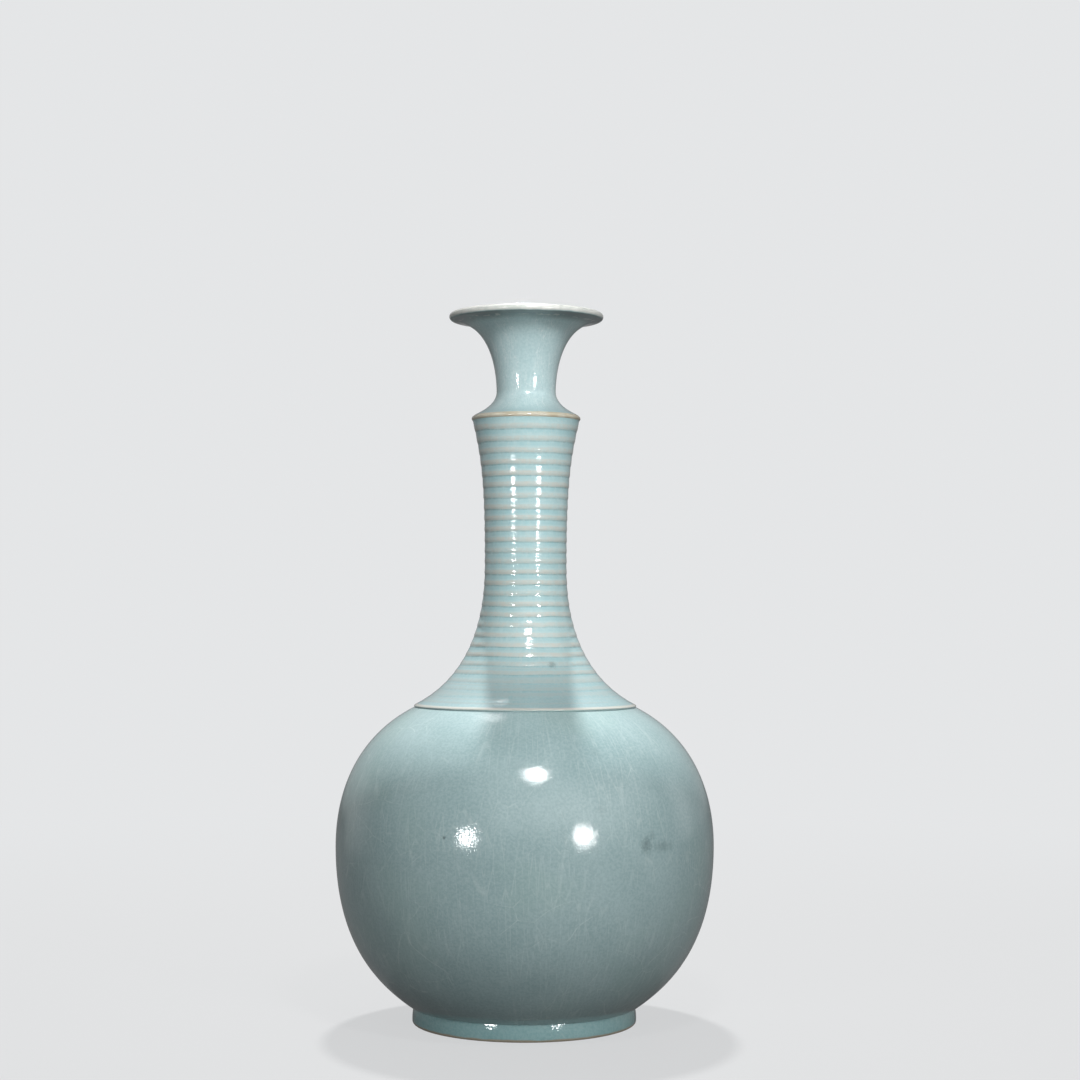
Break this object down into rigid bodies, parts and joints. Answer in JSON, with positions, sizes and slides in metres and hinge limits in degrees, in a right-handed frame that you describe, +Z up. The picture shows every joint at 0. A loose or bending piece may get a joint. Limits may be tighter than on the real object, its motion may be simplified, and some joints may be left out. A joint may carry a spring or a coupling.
{
  "type": "long-neck bottle vase",
  "caption": "Round-bodied glazed stoneware bottle vase with a low foot ring, a long waisted neck of fine throwing ribs, a bead collar and a trumpet mouth with a rolled lip.",
  "frame": {"origin": "centre of the flat rim that the foot ring stands on", "axes": "+Z up the vase's axis of turning; X and Y lie in the surface that it stands on, and the picture looks along +Y"},
  "size_m": [0.181, 0.181, 0.34],
  "materials": {
    "foot": "glossy blue-grey glaze, wiped off the rest face",
    "glaze": "glossy pale blue-grey glaze with a fine crackle",
    "ribbed_glaze": "glossy pale blue glaze, thin and pale on the ribs",
    "mouth_glaze": "glossy pale blue glaze, thin and white on the lip",
    "shoulder_string": "thin pale glaze over a cream edge",
    "collar_string": "thin glaze over a buff edge",
    "dried_slip": "matt fired slip inside the seams"
  },
  "bodies": {
    "root": {"foot_ring": "foot", "foot_lute": "dried_slip", "lower_body": "glaze", "belly_lute": "dried_slip", "upper_body": "glaze", "shoulder_lute": "dried_slip", "shoulder_string": "shoulder_string", "neck": "ribbed_glaze", "mouth_lute": "dried_slip", "collar_string": "collar_string", "mouth": "mouth_glaze"}
  },
  "joints": []
}
